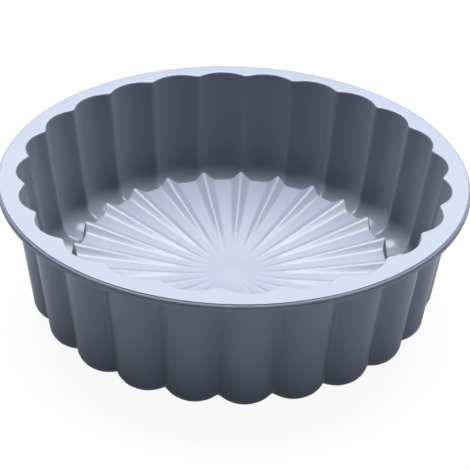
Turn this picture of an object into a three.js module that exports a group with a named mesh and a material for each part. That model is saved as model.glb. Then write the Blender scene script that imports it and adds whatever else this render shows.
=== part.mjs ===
// Silicone flower cake mould: round and fluted, with its floor raised into a pleated star inside a moat.
// A steel wire hoop, pressed into a groove under the rim, keeps the soft rim round and flat.
// Millimetres, +Z up. The origin is on the axis, in the plane that the mould stands on.
import * as THREE from "three";

// Whole mould
const HEIGHT = 66.5; // from the table to the top face of the rim
const RIM_DIAMETER = 220;
const WALL = 2.5; // silicone thickness of the wall, the moat and the raised floor

// Rim: a thin top plate, a narrow sloping ledge below its edge, and a bead round the hoop
const PLATE_EDGE = 0.65; // height of the top plate's edge
const LEDGE_WIDTH = 0.3; // how far the ledge stands out from the top plate
const LEDGE_FALL = 0.8; // how far the ledge slopes down on its way out
const RIM_THICKNESS = 2.4; // of the flat land between the wall and the bead
const RIM_LAND = 1.4; // width of that land at the middle of a flute
const RIM_ROUND = 1.0; // softened edge between the wall's inner face and the top plate

// Hoop, and the bead that holds it
const WIRE_DIAMETER = 1.6;
const HOOP_CLEARANCE = 0.3; // between the wire and its groove, all round
const BEAD_COVER = 0.8; // silicone above the groove
const BEAD_OUTER = 1.0; // from the groove out to the edge of the top plate
const BEAD_INNER = 0.8; // silicone between the groove and the bead's inner side
const BEAD_LIP = 0.4; // silicone below the groove
const LIP_BITE = 0.2; // how far each lip reaches under the wire
const BEAD_CHAMFER = 0.9; // bottom edge of the bead

// Fluted wall, measured on its inner face
const FLUTES = 24;
const WALL_LEAN = 6.6; // how far the wall leans in between the rim and the table
const FLUTE_DEPTH_TOP = 5.2; // from the middle of a flute in to the cusp beside it, at the rim
const FLUTE_DEPTH_FOOT = 7.6; // the same, at the table
const FOOT_INSIDE = 12.0; // round between the wall and the floor of the moat
const FOOT_OUTSIDE = 9.5; // round between the wall and the table

// Raised floor: a dished star whose ridges point at the cusps of the wall, inside a moat
const MOAT_NECK = 1.7; // between a ridge's foot and the foot of the cusp that it points at
const STAR_SIDE_DRAFT = 2.2; // how far the star's side spreads on its way down to the moat
const STAR_SCALLOP = 3.3; // how far the star's edge draws in between two tips
const SCALLOP_SWEEP = 2.7; // power of that curve: higher keeps it flat for longer before a tip
const HUB_DIAMETER = 18; // plain disc in the middle
const HUB_HEIGHT = 7.2; // top face of the disc above the table
const DISH_RISE = 7.8; // how much the valleys climb from the disc to the star's edge
const DISH_SWEEP = 1.3; // power of the way out with which they climb
const RIDGE_HEIGHT = 3.5; // a ridge above its valleys, at the edge
const RIDGE_GROWTH = 1.3; // power of the way out with which a ridge grows
const RIDGE_FOOT = 0.47; // share of a half pleat, from the middle of a valley, that is flat

// Facets
const STEPS_PER_FLUTE = 6;
const FILLET_STEPS = 3;
const GROOVE_STEPS = 5;
const STAR_BREAK = 0.55; // share of the way out at which the star's facets break, to follow the ridges
const HOOP_STEPS = 96;
const WIRE_SIDES = 8;

// Sizes that follow from those above
const HALF_PITCH = Math.PI / FLUTES;
const RIM_RADIUS = RIM_DIAMETER / 2;
const RIM_UNDERSIDE = HEIGHT - RIM_THICKNESS;
const PLATE_RADIUS = RIM_RADIUS - LEDGE_WIDTH;
const LEDGE_HEIGHT = HEIGHT - PLATE_EDGE;
const WIRE_RADIUS = WIRE_DIAMETER / 2;
const GROOVE_RADIUS = WIRE_RADIUS + HOOP_CLEARANCE;
const MOUTH_HALF = WIRE_RADIUS - LIP_BITE; // half the width of the groove's mouth
const HOOP_RADIUS = PLATE_RADIUS - BEAD_OUTER - GROOVE_RADIUS;
const HOOP_HEIGHT = HEIGHT - BEAD_COVER - GROOVE_RADIUS;
const BEAD_BOTTOM = HOOP_HEIGHT - GROOVE_RADIUS - BEAD_LIP;
const BEAD_RADIUS = HOOP_RADIUS - GROOVE_RADIUS - BEAD_INNER; // of the bead's inner side
const FLUTE_RADIUS = BEAD_RADIUS - RIM_LAND - WALL; // of the wall's inner face at the rim, mid flute
const CUSP_FOOT = footPoint(HALF_PITCH, 0, WALL, FOOT_INSIDE); // where a cusp runs out above the moat
const STAR_RADIUS = CUSP_FOOT.radius - MOAT_NECK - STAR_SIDE_DRAFT; // at the tips
const HUB_RADIUS = HUB_DIAMETER / 2;

// The round arc of a flute's inner face at a height, between its two cusps.
function fluteArc(height) {
  const way = (HEIGHT - height) / HEIGHT;
  const lobe = FLUTE_RADIUS - WALL_LEAN * way;
  const cusp = lobe - FLUTE_DEPTH_TOP - (FLUTE_DEPTH_FOOT - FLUTE_DEPTH_TOP) * way;
  const centre = (lobe ** 2 - cusp ** 2) / (2 * (lobe - cusp * Math.cos(HALF_PITCH)));
  return { centre, radius: lobe - centre };
}

// How far from the axis a flute's arc lies, at an angle from the flute's middle.
function arcReach(angle, centre, radius) {
  const across = centre * Math.sin(angle);
  return centre * Math.cos(angle) + Math.sqrt(Math.max(0, radius ** 2 - across ** 2));
}

// Radius of the wall at a height. The outer face is the inner one, grown by the wall.
function wallRadius(angle, height, growth = 0) {
  const { centre, radius } = fluteArc(height);
  return arcReach(angle, centre, radius + growth);
}

// A point of the round at the wall's foot, as a ball leaves it when it rolls along a flute. The share runs
// from the floor, 0, to the wall, 1. Beside a cusp the rounds of two flutes meet, and start, above the floor.
function footPoint(angle, share, floor, ball, growth = 0) {
  const { centre, radius } = fluteArc(floor + ball);
  const flute = radius + growth;
  const least = Math.max(flute - ball, centre * Math.abs(Math.sin(angle)));
  const start = Math.asin(1 - (flute - least) / ball);
  const turn = start + (Math.PI / 2 - start) * share;
  return {
    radius: arcReach(angle, centre, flute - ball * (1 - Math.sin(turn))),
    height: floor + ball * (1 - Math.cos(turn)),
  };
}

// Share of a half pleat: 0 in the middle of a flute, 1 at the cusp beside it.
function pleatShare(angle) {
  return Math.abs(angle) / HALF_PITCH;
}

// Outline of the star: pointed tips at the cusps, drawn in between them.
function starRadius(angle) {
  return STAR_RADIUS - STAR_SCALLOP * (1 - pleatShare(angle) ** SCALLOP_SWEEP);
}

// Height of the star's top face at a share of the way from the hub to its edge.
function starHeight(angle, way) {
  const climb = Math.max(0, (pleatShare(angle) - RIDGE_FOOT) / (1 - RIDGE_FOOT));
  const ridge = RIDGE_HEIGHT * way ** RIDGE_GROWTH * climb;
  return HUB_HEIGHT + DISH_RISE * way ** DISH_SWEEP + ridge;
}

// One ring of points round the axis. Its radius and height are functions of the angle from a flute's middle.
const ring = (radius, height) => ({ radius, height });
const plainRing = (radius, height) => ring(() => radius, () => height);

// A ring on the star at a share of the way from the hub to the edge, `depth` below the top face.
function starRing(way, depth) {
  const edge = (angle) => starRadius(angle) - depth;
  return ring(
    (angle) => HUB_RADIUS + (edge(angle) - HUB_RADIUS) * way,
    (angle) => starHeight(angle, way) - depth,
  );
}

// The rings of the round between a floor and the wall, from the floor up. Growth makes it the outer face.
function footRings(floor, ball, growth = 0) {
  const rings = [];
  for (let step = 0; step <= FILLET_STEPS; step += 1) {
    const share = step / FILLET_STEPS;
    rings.push(
      ring(
        (angle) => footPoint(angle, share, floor, ball, growth).radius,
        (angle) => footPoint(angle, share, floor, ball, growth).height,
      ),
    );
  }
  return rings;
}

// The rings of the groove, from the outer lip of its mouth over the wire to the inner lip.
function grooveRings() {
  const lip = Math.asin(MOUTH_HALF / GROOVE_RADIUS);
  const sweep = 2 * (Math.PI - lip);
  const corner = GROOVE_RADIUS / Math.cos(sweep / GROOVE_STEPS / 2);
  const rings = [plainRing(HOOP_RADIUS + MOUTH_HALF, BEAD_BOTTOM)];
  for (let step = 0; step <= GROOVE_STEPS; step += 1) {
    const turn = lip + sweep * (step / GROOVE_STEPS);
    const atMouth = step === 0 || step === GROOVE_STEPS;
    const reach = atMouth ? GROOVE_RADIUS : corner;
    rings.push(plainRing(HOOP_RADIUS + reach * Math.sin(turn), HOOP_HEIGHT - reach * Math.cos(turn)));
  }
  rings.push(plainRing(HOOP_RADIUS - MOUTH_HALF, BEAD_BOTTOM));
  return rings;
}

// The rings of the mould, from the middle of the floor's top face out, over the rim and back underneath.
function mouldRings() {
  const starSide = (angle) => starRadius(angle) + STAR_SIDE_DRAFT;
  const roundFoot = HEIGHT - RIM_ROUND;
  return [
    plainRing(HUB_RADIUS, HUB_HEIGHT),
    starRing(STAR_BREAK, 0),
    starRing(1, 0),
    ring(starSide, (angle) => footPoint(angle, 0, WALL, FOOT_INSIDE).height),
    ...footRings(WALL, FOOT_INSIDE),
    ring((angle) => wallRadius(angle, roundFoot), () => roundFoot),
    ring((angle) => wallRadius(angle, roundFoot) + RIM_ROUND, () => HEIGHT),
    plainRing(PLATE_RADIUS, HEIGHT),
    plainRing(PLATE_RADIUS, LEDGE_HEIGHT),
    plainRing(RIM_RADIUS, LEDGE_HEIGHT - LEDGE_FALL),
    plainRing(RIM_RADIUS, BEAD_BOTTOM + BEAD_CHAMFER),
    plainRing(RIM_RADIUS - BEAD_CHAMFER, BEAD_BOTTOM),
    ...grooveRings(),
    plainRing(BEAD_RADIUS, BEAD_BOTTOM),
    plainRing(BEAD_RADIUS, RIM_UNDERSIDE),
    ring((angle) => wallRadius(angle, RIM_UNDERSIDE, WALL), () => RIM_UNDERSIDE),
    ...footRings(0, FOOT_OUTSIDE, WALL).reverse(),
    ring((angle) => starSide(angle) - WALL, () => 0),
    starRing(1, WALL),
    starRing(STAR_BREAK, WALL),
    plainRing(HUB_RADIUS, HUB_HEIGHT - WALL),
  ];
}

// A closed surface over a list of rings, with a point on the axis before the first and after the last.
function surfaceOver(rings, firstHeight, lastHeight) {
  const columns = FLUTES * STEPS_PER_FLUTE;
  const positions = [0, 0, firstHeight];
  for (const { radius, height } of rings) {
    for (let column = 0; column < columns; column += 1) {
      const angle = (2 * Math.PI * column) / columns;
      const fromMiddle = ((column % STEPS_PER_FLUTE) / STEPS_PER_FLUTE - 0.5) * 2 * HALF_PITCH;
      const r = radius(fromMiddle);
      positions.push(r * Math.cos(angle), r * Math.sin(angle), height(fromMiddle));
    }
  }
  const last = positions.length / 3;
  positions.push(0, 0, lastHeight);

  const at = (row, column) => 1 + row * columns + (column % columns);
  const triangles = [];
  for (let column = 0; column < columns; column += 1) {
    triangles.push(0, at(0, column), at(0, column + 1));
    for (let row = 0; row + 1 < rings.length; row += 1) {
      const [a, b] = [at(row, column), at(row, column + 1)];
      const [c, d] = [at(row + 1, column), at(row + 1, column + 1)];
      triangles.push(a, c, d, a, d, b);
    }
    triangles.push(last, at(rings.length - 1, column + 1), at(rings.length - 1, column));
  }
  const geometry = new THREE.BufferGeometry();
  geometry.setAttribute("position", new THREE.Float32BufferAttribute(positions, 3));
  geometry.setIndex(triangles);
  geometry.computeVertexNormals();
  return geometry;
}

// The one-piece silicone moulding.
function mouldBody() {
  const silicone = new THREE.MeshStandardMaterial({ color: 0x747e91, roughness: 0.5, metalness: 0 });
  const body = new THREE.Mesh(surfaceOver(mouldRings(), HUB_HEIGHT, HUB_HEIGHT - WALL), silicone);
  body.name = "mould_body";
  return body;
}

// The butt-welded wire hoop in the rim's groove.
function rimHoop() {
  const steel = new THREE.MeshStandardMaterial({ color: 0xb9bcc0, roughness: 0.35, metalness: 1 });
  const wire = new THREE.TorusGeometry(HOOP_RADIUS, WIRE_RADIUS, WIRE_SIDES, HOOP_STEPS);
  const hoop = new THREE.Mesh(wire, steel);
  hoop.position.z = HOOP_HEIGHT;
  hoop.name = "rim_hoop";
  return hoop;
}

const mould = new THREE.Group();
mould.add(mouldBody(), rimHoop());
export default mould;
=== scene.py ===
"""Looks of the silicone flower cake mould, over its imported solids.

The moulding is one closed surface: a section with softened corners, carried round the axis, whose points
move in and out with the flutes. The hoop under the rim is a ring of drawn wire. Sizes are millimetres until
a mesh is made, and everything lies in the frame of the solids.
"""

import math

import bpy
import numpy as np
from mathutils import Matrix, Vector


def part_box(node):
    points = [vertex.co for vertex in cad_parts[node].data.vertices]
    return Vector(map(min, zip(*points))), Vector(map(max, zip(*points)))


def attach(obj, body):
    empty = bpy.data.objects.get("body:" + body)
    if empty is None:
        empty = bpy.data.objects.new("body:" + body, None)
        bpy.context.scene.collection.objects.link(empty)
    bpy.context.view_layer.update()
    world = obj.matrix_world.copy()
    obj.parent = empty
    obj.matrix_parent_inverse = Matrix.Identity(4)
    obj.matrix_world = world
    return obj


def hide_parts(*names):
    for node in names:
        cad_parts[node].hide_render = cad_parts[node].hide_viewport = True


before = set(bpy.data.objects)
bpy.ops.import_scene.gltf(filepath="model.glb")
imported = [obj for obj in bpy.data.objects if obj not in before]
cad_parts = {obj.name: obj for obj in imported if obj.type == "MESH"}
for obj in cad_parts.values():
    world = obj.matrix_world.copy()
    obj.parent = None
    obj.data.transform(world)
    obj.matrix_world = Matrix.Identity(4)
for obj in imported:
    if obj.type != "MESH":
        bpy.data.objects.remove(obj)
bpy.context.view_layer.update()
MM = 0.001

# Sizes read from the solids
BODY_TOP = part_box("mould_body")[1] / MM
HOOP_LOW, HOOP_HIGH = (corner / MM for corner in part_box("rim_hoop"))
HEIGHT = BODY_TOP.z
RIM_RADIUS = BODY_TOP.x
WIRE_RADIUS = (HOOP_HIGH.z - HOOP_LOW.z) / 2
HOOP_RADIUS = HOOP_HIGH.x - WIRE_RADIUS
HOOP_HEIGHT = HOOP_HIGH.z - WIRE_RADIUS

# Rim: a thin top plate, a bevelled ledge below its edge, a fine undercut, and the bead round the hoop
LEDGE_SETBACK = 0.4
LEDGE_WIDTH = 0.75
LEDGE_RADIUS = RIM_RADIUS - LEDGE_SETBACK
PLATE_RADIUS = LEDGE_RADIUS - LEDGE_WIDTH
PLATE_EDGE = 0.55
LEDGE_BEVEL = 0.5
LEDGE_NOSE = 0.3
UNDERCUT = 0.2
UNDERCUT_HEIGHT = 0.3
BEAD_SHOULDER = 0.6
RIM_THICKNESS = 2.4
RIM_LAND = 2.0
RIM_ROUND = 1.0
RIM_ROUND_ROOM = 1.6
PLATE_ROUND = 0.3
LEDGE_ROUND = 0.15
BEAD_TOP_ROUND = 0.4
BEAD_FOOT_ROUND = 0.9
BEAD_INNER_ROUND = 0.3
PLATE_ROUND_ROOM = 0.8

# Groove round the wire, between two lips
HOOP_CLEARANCE = 0.3
LIP_BITE = 0.2
LIP_ROUND = 0.15
BEAD_LIP = 0.4
BEAD_INNER = 0.8
GROOVE_RADIUS = WIRE_RADIUS + HOOP_CLEARANCE
MOUTH_HALF = WIRE_RADIUS - LIP_BITE
BEAD_BOTTOM = HOOP_HEIGHT - GROOVE_RADIUS - BEAD_LIP
BEAD_INSIDE = HOOP_RADIUS - GROOVE_RADIUS - BEAD_INNER

# Fluted wall, measured on its inner face
FLUTES = 24
HALF_PITCH = math.pi / FLUTES
WALL = 2.5
FLUTE_RADIUS = BEAD_INSIDE - RIM_LAND - WALL
WALL_LEAN = 6.6
FLUTE_DEPTH_TOP = 5.2
FLUTE_DEPTH_FOOT = 7.6
FOOT_INSIDE = 12.0
FOOT_OUTSIDE = 9.5
CUSP_ROUND = 1.6
GROOVE_ROUND = 0.7
UNDER_RIM_ROUND = 0.5

# Raised floor: a dished star whose ridges point at the cusps of the wall, inside a moat
MOAT_NECK = 1.7
STAR_SIDE_DRAFT = 2.2
STAR_SCALLOP = 3.3
SCALLOP_SWEEP = 2.7
STAR_EDGE_ROUND = 0.7
STAR_FOOT_ROUND = 1.3
HOLLOW_FOOT_ROUND = 0.6
HOLLOW_EDGE_ROUND = 1.0
TIP_ROUND = 1.3
HUB_RADIUS = 9.0
HUB_HEIGHT = 7.2
DISH_RISE = 7.8
DISH_SWEEP = 1.3

# Ridges of the star: wedges of one angle, so they widen outwards, whose height grows with the radius.
# Their section has a round crest, is steepest beside it, and flattens towards a soft crease at the foot.
RIDGE_START = 21.0
RIDGE_HEIGHT = 3.5
RAY_HEIGHT = 0.12
RIDGE_SPREAD = 0.53
CREST_SHARE = 0.25
RIDGE_FOOT_SLOPE = 0.75

# Grid: columns in one flute, crowded towards its cusps, and steps on the rounded stretches
COLUMNS = 32
CROWDING = 1.5
STAR_STEPS = 22
STAR_LAST_WAY = 0.985
SECTION_STEPS = 400
FILLET_STEPS = 8
WALL_STEPS = 5
GROOVE_STEPS = 8
LONGEST_LEG = 0.4

STEP = np.arange(COLUMNS) / COLUMNS * 2 - 1
SHARE = np.sign(STEP) * (1 - (1 - abs(STEP)) ** CROWDING)


def rounded_share(rounding):
    """Share of the way from a flute's middle, 0, to its cusp, 1, with the cusp rounded off.

    The distance left to the cusp becomes the longest side of a right triangle, whose other sides are that
    distance itself and the rounding.
    """
    pitch = HALF_PITCH * FLUTE_RADIUS
    left = (1 - abs(SHARE)) * pitch
    return 1 - np.hypot(left, rounding) / pitch


INNER_ANGLE = HALF_PITCH * rounded_share(CUSP_ROUND)
OUTER_ANGLE = HALF_PITCH * rounded_share(GROOVE_ROUND)
TIP_SHARE = np.clip(rounded_share(TIP_ROUND), 0, 1)


def ring(radius, height):
    """One ring of the grid over one flute: a radius and a height for each column."""
    return np.stack(np.broadcast_arrays(radius, height, SHARE)[:2], axis=-1).astype(float)


def flute_arc(height):
    """Centre and radius of a flute's inner arc at a height: a circle through its middle and its two cusps."""
    way = (HEIGHT - height) / HEIGHT
    lobe = FLUTE_RADIUS - WALL_LEAN * way
    cusp = lobe - FLUTE_DEPTH_TOP - (FLUTE_DEPTH_FOOT - FLUTE_DEPTH_TOP) * way
    centre = (lobe**2 - cusp**2) / (2 * (lobe - cusp * math.cos(HALF_PITCH)))
    return centre, lobe - centre


def arc_reach(angle, centre, radius):
    """How far from the axis an arc lies at an angle: the far root of the circle's polar equation."""
    across = centre * np.sin(angle)
    return centre * np.cos(angle) + np.sqrt(np.maximum(0, radius**2 - across**2))


def wall_ring(height, angle, growth=0.0):
    """A ring of the wall at a height. The outer face is the inner one's arcs, grown by the wall."""
    centre, radius = flute_arc(height)
    return ring(arc_reach(angle, centre, radius + growth), height)


def foot_ring(share, floor, ball, angle, growth=0.0):
    """A ring of the round at the wall's foot, as a ball leaves it when it rolls along a flute.

    The share runs from the floor, 0, to the wall, 1. Beside a cusp the rounds of two flutes meet above the
    floor, so there the ball's quarter turn starts from the angle at which they meet.
    """
    centre, radius = flute_arc(floor + ball)
    flute = radius + growth
    least = np.maximum(flute - ball, centre * abs(np.sin(angle)))
    start = np.arcsin(1 - (flute - least) / ball)
    turn = start + (math.pi / 2 - start) * share
    return ring(
        arc_reach(angle, centre, flute - ball * (1 - np.sin(turn))),
        floor + ball * (1 - np.cos(turn)),
    )


def star_edge():
    """Outline of the star: tips at the cusps, drawn in between them by a power of the way to the tip."""
    centre = flute_arc(WALL + FOOT_INSIDE)[0]
    tip = centre * math.cos(HALF_PITCH) - MOAT_NECK - STAR_SIDE_DRAFT
    return tip - STAR_SCALLOP * (1 - TIP_SHARE**SCALLOP_SWEEP)


STAR_EDGE = star_edge()
STAR_TIP = STAR_EDGE.max()


def ridge_height(radius):
    """Height of the ridges over their valleys: a low ray near the hub, and past a radius a steady climb."""
    ray = RAY_HEIGHT * np.clip(radius / HUB_RADIUS - 1, 0, 1)
    climb = (radius - RIDGE_START) / (STAR_TIP - RIDGE_START)
    return ray + (RIDGE_HEIGHT - RAY_HEIGHT) * np.maximum(0, climb)


def ridge_section(away):
    """Share of a ridge's height at a share of the way from its crest, 0, to its foot, 1.

    The slope grows from nothing at the crest, and then falls off to the slope of the foot. The height is
    what the slope adds up to.
    """
    way = np.linspace(0, 1, SECTION_STEPS + 1)
    slope = np.interp(way, [0, CREST_SHARE, 1], [0, 1, RIDGE_FOOT_SLOPE])
    fall = np.cumsum(slope) - slope / 2
    return 1 - np.interp(away, way, fall / fall[-1])


def star_height(radius):
    """Height of the star's top face: a dish that climbs by a power of the radius, plus the ridges."""
    way = np.maximum(0, (radius - HUB_RADIUS) / (STAR_EDGE - HUB_RADIUS))
    dish = HUB_HEIGHT + DISH_RISE * way**DISH_SWEEP
    away = (1 - abs(SHARE)) / RIDGE_SPREAD
    return dish + ridge_height(radius) * ridge_section(np.minimum(1, away))


def star_ring(way, depth=0.0):
    """A ring of the star at a share of the way from the axis to its edge, at a depth below its top face."""
    radius = (STAR_EDGE - depth) * way
    return ring(radius, star_height(radius) - depth)


def leg(side, softness):
    """The start of a side, no longer than the softness or the longest share of the side."""
    length = np.linalg.norm(side, axis=-1, keepdims=True)
    return side / length * np.minimum(softness, LONGEST_LEG * length)


def softened(corners):
    """The rings of a section with softened corners. A corner is a ring, a softness and a count of steps.

    A corner gives way to the parabola that touches both its sides at the softness's distance from it.
    """
    rings = [corner[0] for corner in corners]
    rows = [rings[0]]
    for before, (corner, softness, steps), after in zip(rings, corners[1:-1], rings[2:]):
        if softness == 0:
            rows.append(corner)
            continue
        start = corner + leg(before - corner, softness)
        end = corner + leg(after - corner, softness)
        t = np.linspace(0, 1, steps + 1)[:, None, None]
        rows.extend((1 - t) ** 2 * start + 2 * t * (1 - t) * corner + t**2 * end)
    return np.array([*rows, rings[-1]])


def plain(*rings):
    """Rings that the section passes through as they are."""
    return [(each, 0, 0) for each in rings]


def star_top():
    """The star's top face, from the hub to its softened edge, and its side down to the moat."""
    ways = np.linspace(0, 1, STAR_STEPS)[1:-1]
    moat = foot_ring(0, WALL, FOOT_INSIDE, INNER_ANGLE)
    return [
        *plain(*[star_ring(way) for way in ways]),
        *plain(star_ring(STAR_LAST_WAY)),
        (star_ring(1), STAR_EDGE_ROUND, 4),
        (ring(STAR_EDGE + STAR_SIDE_DRAFT, moat[:, 1]), STAR_FOOT_ROUND, 4),
    ]


def inner_wall():
    """The round at the wall's foot and the wall's inner face, up to the softened edge of the rim."""
    heights = np.linspace(WALL + FOOT_INSIDE, HEIGHT - 2 * RIM_ROUND, WALL_STEPS)[1:]
    shares = np.linspace(0, 1, FILLET_STEPS)
    return [
        *plain(*[foot_ring(share, WALL, FOOT_INSIDE, INNER_ANGLE) for share in shares]),
        *plain(*[wall_ring(height, INNER_ANGLE) for height in heights]),
        (wall_ring(HEIGHT, INNER_ANGLE), RIM_ROUND, 5),
        *plain(ring(wall_ring(HEIGHT, INNER_ANGLE)[:, 0] + RIM_ROUND_ROOM, HEIGHT)),
    ]


def rim_edge():
    """The rim's outer edge: plate, ledge, undercut and bead, all plain circles."""
    ledge = HEIGHT - PLATE_EDGE
    bevel = ledge - LEDGE_BEVEL
    nose = bevel - LEDGE_NOSE
    undercut = nose - UNDERCUT_HEIGHT
    return [
        *plain(ring(PLATE_RADIUS - PLATE_ROUND_ROOM, HEIGHT)),
        (ring(PLATE_RADIUS, HEIGHT), PLATE_ROUND, 3),
        *plain(ring(PLATE_RADIUS, ledge)),
        (ring(LEDGE_RADIUS - LEDGE_BEVEL, ledge), LEDGE_ROUND, 2),
        (ring(LEDGE_RADIUS, bevel), LEDGE_ROUND, 2),
        *plain(ring(LEDGE_RADIUS, nose), ring(LEDGE_RADIUS - UNDERCUT, undercut)),
        (ring(RIM_RADIUS, undercut - BEAD_SHOULDER), BEAD_TOP_ROUND, 3),
        (ring(RIM_RADIUS, BEAD_BOTTOM), BEAD_FOOT_ROUND, 4),
    ]


def hoop_groove():
    """The groove under the bead: two lips, and between them a circle round the wire."""
    lip = math.asin(MOUTH_HALF / GROOVE_RADIUS)
    turns = np.linspace(lip, 2 * math.pi - lip, GROOVE_STEPS)
    circle = [
        ring(HOOP_RADIUS + GROOVE_RADIUS * math.sin(turn), HOOP_HEIGHT - GROOVE_RADIUS * math.cos(turn))
        for turn in turns
    ]
    return [
        (ring(HOOP_RADIUS + MOUTH_HALF, BEAD_BOTTOM), LIP_ROUND, 1),
        *plain(*circle),
        (ring(HOOP_RADIUS - MOUTH_HALF, BEAD_BOTTOM), LIP_ROUND, 1),
    ]


def outer_wall():
    """The rim's underside, the wall's outer face and the round at its foot, down to the table."""
    underside = HEIGHT - RIM_THICKNESS
    heights = np.linspace(underside, FOOT_OUTSIDE, WALL_STEPS)[1:-1]
    shares = np.linspace(1, 0, FILLET_STEPS)
    return [
        (ring(BEAD_INSIDE, BEAD_BOTTOM), BEAD_INNER_ROUND, 2),
        *plain(ring(BEAD_INSIDE, underside)),
        (wall_ring(underside, OUTER_ANGLE, WALL), UNDER_RIM_ROUND, 2),
        *plain(*[wall_ring(height, OUTER_ANGLE, WALL) for height in heights]),
        *plain(*[foot_ring(share, 0, FOOT_OUTSIDE, OUTER_ANGLE, WALL) for share in shares]),
    ]


def star_underside():
    """The hollow under the star, from the table up its side and in to the axis."""
    ways = np.linspace(1, 0, STAR_STEPS // 2)[1:-1]
    return [
        (ring(STAR_EDGE + STAR_SIDE_DRAFT - WALL, 0), HOLLOW_FOOT_ROUND, 2),
        (star_ring(1, WALL), HOLLOW_EDGE_ROUND, 2),
        *plain(*[star_ring(way, WALL) for way in ways]),
    ]


def mesh_object(name, vertices, faces):
    """A smooth-shaded object from points in millimetres and lists of corners."""
    mesh = bpy.data.meshes.new(name)
    mesh.from_pydata((vertices * MM).tolist(), [], faces)
    mesh.polygons.foreach_set("use_smooth", np.ones(len(mesh.polygons), bool))
    mesh.validate()
    made = bpy.data.objects.new(name, mesh)
    bpy.context.scene.collection.objects.link(made)
    return made


def grid_faces(rows, columns, closed_rows=False):
    """Quads over a grid of points whose columns close on themselves, and whose rows may."""
    starts = rows if closed_rows else rows - 1
    row, column = np.meshgrid(np.arange(starts), np.arange(columns), indexing="ij")
    here, below = row * columns, (row + 1) % rows * columns
    beside = (column + 1) % columns
    quads = [here + column, below + column, below + beside, here + beside]
    return np.stack(quads, axis=-1).reshape(-1, 4)


def moulding():
    """The one-piece moulding: the section of one flute, repeated round the axis and closed at two poles."""
    corners = [*star_top(), *inner_wall(), *rim_edge(), *hoop_groove(), *outer_wall(), *star_underside()]
    section = np.tile(softened(corners), (1, FLUTES, 1))
    angle = (np.arange(FLUTES)[:, None] * 2 + 1 + SHARE).ravel() * HALF_PITCH
    radius, height = section[..., 0], section[..., 1]
    points = np.stack([radius * np.cos(angle), radius * np.sin(angle), height], axis=-1).reshape(-1, 3)
    poles = [[0, 0, HUB_HEIGHT], [0, 0, HUB_HEIGHT - WALL]]
    rows, columns = radius.shape
    here = np.arange(columns)
    beside = np.roll(here, -1)
    top_pole, under_pole, last_row = len(points), len(points) + 1, (rows - 1) * columns
    top_fan = np.stack([np.full(columns, top_pole), here, beside], axis=-1)
    under_fan = np.stack([np.full(columns, under_pole), last_row + beside, last_row + here], axis=-1)
    faces = [*grid_faces(rows, columns).tolist(), *top_fan.tolist(), *under_fan.tolist()]
    return mesh_object("fluted_moulding", np.vstack([points, poles]), faces)


# Hoop: steps round the hoop and round its wire, and the swelling of its butt weld
HOOP_STEPS = 360
WIRE_SIDES = 20
WELD_SWELLING = 0.12
WELD_LENGTH = 1.5
WELD_ANGLE = math.radians(97.5)


def wire_hoop():
    """The hoop: a circle of the wire's radius carried round a larger one, swollen a little at its weld."""
    around = np.arange(HOOP_STEPS)[:, None] * 2 * math.pi / HOOP_STEPS
    about = np.arange(WIRE_SIDES) * 2 * math.pi / WIRE_SIDES
    from_weld = (around - WELD_ANGLE) * HOOP_RADIUS / WELD_LENGTH
    wire = WIRE_RADIUS + WELD_SWELLING * np.exp(-(from_weld**2))
    radius = HOOP_RADIUS + wire * np.cos(about)
    height = HOOP_HEIGHT + wire * np.sin(about)
    points = np.stack([radius * np.cos(around), radius * np.sin(around), height], axis=-1).reshape(-1, 3)
    return mesh_object("wire_hoop", points, grid_faces(HOOP_STEPS, WIRE_SIDES, closed_rows=True).tolist())


def linear(colour):
    """An sRGB hex colour as linear red, green, blue and alpha."""
    channels = [int(colour[i : i + 2], 16) / 255 for i in (1, 3, 5)]
    return [c / 12.92 if c <= 0.04045 else ((c + 0.055) / 1.055) ** 2.4 for c in channels] + [1.0]


def add_node(tree, kind, settings=(), **inputs):
    """Adds a node, sets its own settings, and gives each named input a value or a link.

    An underscore and a number name the input at that place. Other underscores stand for spaces.
    """
    made = tree.nodes.new(kind)
    for name, value in dict(settings).items():
        setattr(made, name, value)
    for name, value in inputs.items():
        socket = made.inputs[int(name[1:]) if name[1:].isdigit() else name.replace("_", " ")]
        if isinstance(value, bpy.types.NodeSocket):
            tree.links.new(value, socket)
        else:
            socket.default_value = value
    return made


def new_material(name):
    """An empty node material and its tree."""
    material = bpy.data.materials.new(name)
    material.use_nodes = True
    material.node_tree.nodes.clear()
    return material, material.node_tree


def moulded_silicone():
    """Silicone rubber pressed in a fine-blasted steel mould.

    It gives the eye a satin skin: broad soft highlights, no texture from a step away, and pigment that
    varies a little from place to place. The grain of the blasting is drawn coarser than it is, to show.
    """
    cloud_size = 35 * MM
    grain_size = 0.5 * MM
    grain_depth = 0.012 * MM
    material, tree = new_material("moulded_silicone")
    place = add_node(tree, "ShaderNodeTexCoord").outputs["Object"]
    clouds = add_node(tree, "ShaderNodeTexNoise", Vector=place, Scale=1 / cloud_size, Detail=3.0)
    grain = add_node(tree, "ShaderNodeTexNoise", Vector=place, Scale=1 / grain_size, Detail=2.0)
    pigment = add_node(
        tree,
        "ShaderNodeMix",
        {"data_type": "RGBA"},
        Factor=clouds.outputs["Fac"],
        _6=linear("#6b717e"),
        _7=linear("#717784"),
    )
    satin = add_node(
        tree,
        "ShaderNodeMapRange",
        Value=clouds.outputs["Fac"],
        To_Min=0.28,
        To_Max=0.33,
    )
    skin = add_node(
        tree,
        "ShaderNodeBump",
        Strength=1.0,
        Distance=grain_depth,
        Height=grain.outputs["Fac"],
    )
    shader = add_node(
        tree,
        "ShaderNodeBsdfPrincipled",
        Base_Color=pigment.outputs["Result"],
        Roughness=satin.outputs["Result"],
        IOR=1.43,
        Normal=skin.outputs["Normal"],
    )
    add_node(tree, "ShaderNodeOutputMaterial", Surface=shader.outputs["BSDF"])
    return material


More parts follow.
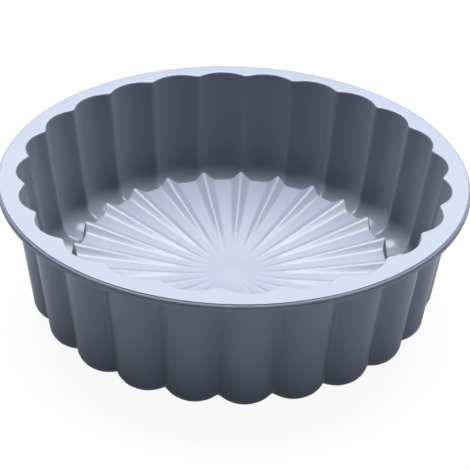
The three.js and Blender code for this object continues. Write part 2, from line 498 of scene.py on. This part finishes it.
def drawn_steel():
    """Stainless spring wire, drawn through a die.

    It gives the eye a grey metal whose polish varies in fine specks.
    """
    speck_size = 0.2 * MM
    material, tree = new_material("drawn_steel_wire")
    place = add_node(tree, "ShaderNodeTexCoord").outputs["Object"]
    specks = add_node(tree, "ShaderNodeTexNoise", Vector=place, Scale=1 / speck_size, Detail=1.0)
    polish = add_node(tree, "ShaderNodeMapRange", Value=specks.outputs["Fac"], To_Min=0.22, To_Max=0.42)
    shader = add_node(
        tree,
        "ShaderNodeBsdfPrincipled",
        Base_Color=linear("#b9bcc0"),
        Metallic=1.0,
        Roughness=polish.outputs["Result"],
    )
    add_node(tree, "ShaderNodeOutputMaterial", Surface=shader.outputs["BSDF"])
    return material


def dress(piece, material, node):
    """Gives a piece its material, and lets it stand for a solid and move with it."""
    piece.data.materials.append(material)
    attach(piece, "root")
    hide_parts(node)


# Stage, with lengths in metres
FLOOR_HALF = 30.0
FLOOR_GLOW = 0.93
FLOOR_PALE = "#e8e8ea"
FLOOR_SHADED = "#a0a3aa"
GLOSS_SHARE = 0.2
WORLD_FILL = 0.01
LAMP_AIM = (0, 0, 0.02)
LAMP_WHITE = "#fafbff"
LAMP_COOL = "#dae6ff"


def seen_directly(tree):
    """How much of the stage's plain white a ray meets.

    All of it, 1, from the eye or through glass. Reflections show only a share of it, because all of it would
    wash out the mould's outer wall.
    """
    path = add_node(tree, "ShaderNodeLightPath")
    mirrored = add_node(
        tree,
        "ShaderNodeMath",
        {"operation": "MULTIPLY"},
        _0=path.outputs["Is Glossy Ray"],
        _1=GLOSS_SHARE,
    )
    eye_or_glass = add_node(
        tree,
        "ShaderNodeMath",
        {"operation": "MAXIMUM"},
        _0=path.outputs["Is Camera Ray"],
        _1=path.outputs["Is Transmission Ray"],
    )
    any_of_three = add_node(
        tree,
        "ShaderNodeMath",
        {"operation": "MAXIMUM"},
        _0=eye_or_glass.outputs["Value"],
        _1=mirrored.outputs["Value"],
    )
    return any_of_three.outputs["Value"]


def stage_floor():
    """A plain pale floor, white to the eye, that keeps the mould's shadow."""
    corners = np.array([[-1, -1, 0], [1, -1, 0], [1, 1, 0], [-1, 1, 0]]) * FLOOR_HALF / MM
    floor = mesh_object("floor", corners, [[0, 1, 2, 3]])
    material, tree = new_material("white_paper_floor")
    paper = add_node(tree, "ShaderNodeBsdfDiffuse", Color=linear(FLOOR_PALE))
    glow = add_node(tree, "ShaderNodeEmission", Strength=1.0)
    bounce = add_node(tree, "ShaderNodeBsdfDiffuse", Color=linear(FLOOR_SHADED))
    white = add_node(
        tree,
        "ShaderNodeMixShader",
        Fac=FLOOR_GLOW,
        _1=paper.outputs["BSDF"],
        _2=glow.outputs["Emission"],
    )
    either = add_node(
        tree,
        "ShaderNodeMixShader",
        Fac=seen_directly(tree),
        _1=bounce.outputs["BSDF"],
        _2=white.outputs["Shader"],
    )
    add_node(tree, "ShaderNodeOutputMaterial", Surface=either.outputs["Shader"])
    floor.data.materials.append(material)


def stage_world():
    """White to the eye, and a low even fill for the mould."""
    world = bpy.data.worlds.new("studio")
    world.use_nodes = True
    tree = world.node_tree
    tree.nodes.clear()
    level = add_node(tree, "ShaderNodeMapRange", Value=seen_directly(tree), To_Min=WORLD_FILL, To_Max=1.0)
    light = add_node(
        tree, "ShaderNodeBackground", Color=linear("#ffffff"), Strength=level.outputs["Result"]
    )
    add_node(tree, "ShaderNodeOutputWorld", Surface=light.outputs["Background"])
    bpy.context.scene.world = world


def softbox(name, place, size, watts, colour):
    """A rectangular lamp at a place in metres, turned towards the mould."""
    lamp = bpy.data.lights.new(name, "AREA")
    lamp.shape = "RECTANGLE"
    lamp.size, lamp.size_y = size
    lamp.energy = watts
    lamp.color = linear(colour)[:3]
    box = bpy.data.objects.new(name, lamp)
    box.location = place
    box.rotation_euler = (Vector(LAMP_AIM) - Vector(place)).to_track_quat("-Z", "Y").to_euler()
    bpy.context.scene.collection.objects.link(box)


# Camera: where it stands in metres, its lens and sensor in millimetres, and how it is turned
CAMERA_PLACE = (0.0241, -0.5088, 0.3599)
CAMERA_LENS = 96.0
CAMERA_SENSOR = 36.0
CAMERA_TURN = math.radians(2.58)
CAMERA_PITCH = math.radians(33.065)
CAMERA_ROLL = math.radians(1.72)


def photo_camera():
    """The camera: turned about the upright, tipped down from level, and rolled about its own axis."""
    data = bpy.data.cameras.new("camera")
    data.sensor_width = CAMERA_SENSOR
    data.lens = CAMERA_LENS
    camera = bpy.data.objects.new("camera", data)
    turn = Matrix.Rotation(CAMERA_TURN, 4, "Z")
    tip = Matrix.Rotation(math.pi / 2 - CAMERA_PITCH, 4, "X")
    roll = Matrix.Rotation(CAMERA_ROLL, 4, "Z")
    camera.matrix_world = Matrix.Translation(CAMERA_PLACE) @ turn @ tip @ roll
    bpy.context.scene.collection.objects.link(camera)
    bpy.context.scene.camera = camera


dress(moulding(), moulded_silicone(), "mould_body")
dress(wire_hoop(), drawn_steel(), "rim_hoop")
stage_floor()
stage_world()
softbox("overhead", place=(0.0, 0.21, 1.0), size=(1.2, 0.6), watts=34, colour=LAMP_WHITE)
softbox("behind", place=(0.0, 0.75, 0.75), size=(1.1, 0.6), watts=10, colour=LAMP_WHITE)
softbox("front", place=(0.5, -1.3, 0.032), size=(1.4, 0.06), watts=2.2, colour=LAMP_COOL)
photo_camera()
bpy.context.scene.view_settings.view_transform = "Standard"
